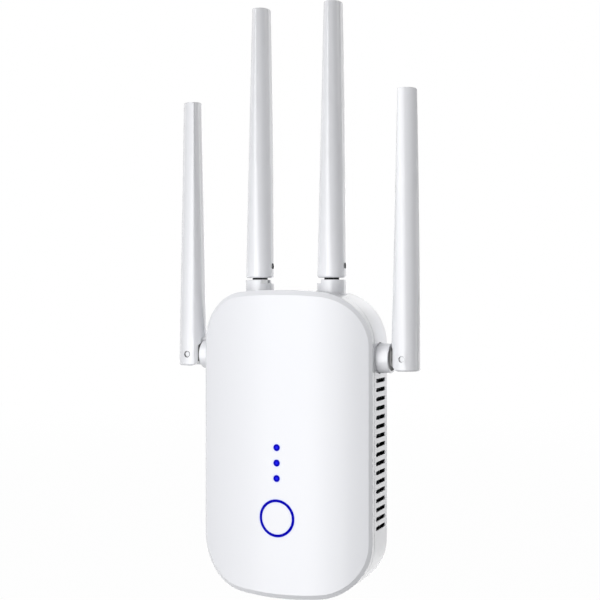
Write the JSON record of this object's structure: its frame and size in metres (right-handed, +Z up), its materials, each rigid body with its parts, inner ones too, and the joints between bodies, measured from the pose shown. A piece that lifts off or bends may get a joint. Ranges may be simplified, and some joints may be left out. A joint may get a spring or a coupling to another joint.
{
  "type": "wifi range extender",
  "caption": "Plug-in wireless range extender with a crowned white body, side vents, lit button ring, signal lights and folding swivel antennas.",
  "frame": {"origin": "middle of the plug-pin pair on the face of the plug block", "axes": "+Z up along the antennas, +Y into the wall along the plug pins, front toward -Y"},
  "size_m": [0.1018, 0.0564, 0.2283],
  "materials": {
    "white_shell": "satin white moulding",
    "white_antenna": "satin white moulding",
    "blue_light": "translucent light guide lit blue",
    "plug_metal": "nickel-plated pin",
    "steel": "plain steel",
    "tin_plate": "tin-plated can",
    "board_green": "solder mask over laminate",
    "led_white": "light package",
    "black_plastic": "black moulding",
    "gold_contact": "gold-plated spring wire",
    "capacitor_sleeve": "shrink sleeve",
    "radiator_strip": "copper on laminate",
    "lead_jacket": "cable jacket"
  },
  "bodies": {
    "base": {"front_cover": "white_shell", "rear_housing": "white_shell", "plug_block": "white_shell", "plug_pin_line": "plug_metal", "plug_pin_neutral": "plug_metal", "housing_screws": "steel", "ring_light_guide": "blue_light", "signal_light_pipe": "blue_light", "main_board": "board_green", "status_leds": "led_white", "ring_leds": "led_white", "switch_body": "black_plastic", "radio_shield": "tin_plate", "processor_shield": "tin_plate", "ethernet_jack": "black_plastic", "jack_contacts": "gold_contact", "power_board": "board_green", "transformer": "black_plastic", "bulk_capacitor": "capacitor_sleeve", "board_link": "black_plastic", "left_side_lead": "lead_jacket", "right_side_lead": "lead_jacket", "left_top_lead": "lead_jacket", "right_top_lead": "lead_jacket"},
    "button": {"wps_button": "white_shell", "switch_plunger": "black_plastic"},
    "left_side_mount": {"left_side_swivel": "white_antenna", "left_side_clip": "steel"},
    "left_side_antenna": {"left_side_blade": "white_antenna", "left_side_radiator": "radiator_strip", "left_side_pin": "white_antenna"},
    "right_side_mount": {"right_side_swivel": "white_antenna", "right_side_clip": "steel"},
    "right_side_antenna": {"right_side_blade": "white_antenna", "right_side_radiator": "radiator_strip", "right_side_pin": "white_antenna"},
    "left_top_mount": {"left_top_swivel": "white_antenna", "left_top_clip": "steel"},
    "left_top_antenna": {"left_top_blade": "white_antenna", "left_top_radiator": "radiator_strip", "left_top_pin": "white_antenna"},
    "right_top_mount": {"right_top_swivel": "white_antenna", "right_top_clip": "steel"},
    "right_top_antenna": {"right_top_blade": "white_antenna", "right_top_radiator": "radiator_strip", "right_top_pin": "white_antenna"}
  },
  "joints": [
    {"name": "button_push", "type": "slide", "parent": "base", "child": "button", "axis": [0, 1, 0], "range_m": [0, 0.0006], "stiffness_N_per_m": 2500},
    {"name": "left_side_swivel_turn", "type": "hinge", "parent": "base", "child": "left_side_mount", "pos_m": [-0.0452, -0.0189, 0.0326], "axis": [1, 0, 0], "range_deg": [-90, 90]},
    {"name": "left_side_fold", "type": "hinge", "parent": "left_side_mount", "child": "left_side_antenna", "pos_m": [-0.0452, -0.0189, 0.0326], "axis": [0, -1, 0], "range_deg": [0, 90]},
    {"name": "right_side_swivel_turn", "type": "hinge", "parent": "base", "child": "right_side_mount", "pos_m": [0.0452, -0.0189, 0.0326], "axis": [1, 0, 0], "range_deg": [-90, 90]},
    {"name": "right_side_fold", "type": "hinge", "parent": "right_side_mount", "child": "right_side_antenna", "pos_m": [0.0452, -0.0189, 0.0326], "axis": [0, 1, 0], "range_deg": [0, 90]},
    {"name": "left_top_swivel_turn", "type": "hinge", "parent": "base", "child": "left_top_mount", "pos_m": [-0.01525, -0.0189, 0.0679], "axis": [0, 0, 1], "range_deg": [0, 60]},
    {"name": "left_top_fold", "type": "hinge", "parent": "left_top_mount", "child": "left_top_antenna", "pos_m": [-0.01525, -0.0189, 0.0679], "axis": [-1, 0, 0], "range_deg": [0, 90]},
    {"name": "right_top_swivel_turn", "type": "hinge", "parent": "base", "child": "right_top_mount", "pos_m": [0.01525, -0.0189, 0.0679], "axis": [0, 0, -1], "range_deg": [0, 60]},
    {"name": "right_top_fold", "type": "hinge", "parent": "right_top_mount", "child": "right_top_antenna", "pos_m": [0.01525, -0.0189, 0.0679], "axis": [-1, 0, 0], "range_deg": [0, 90]}
  ]
}
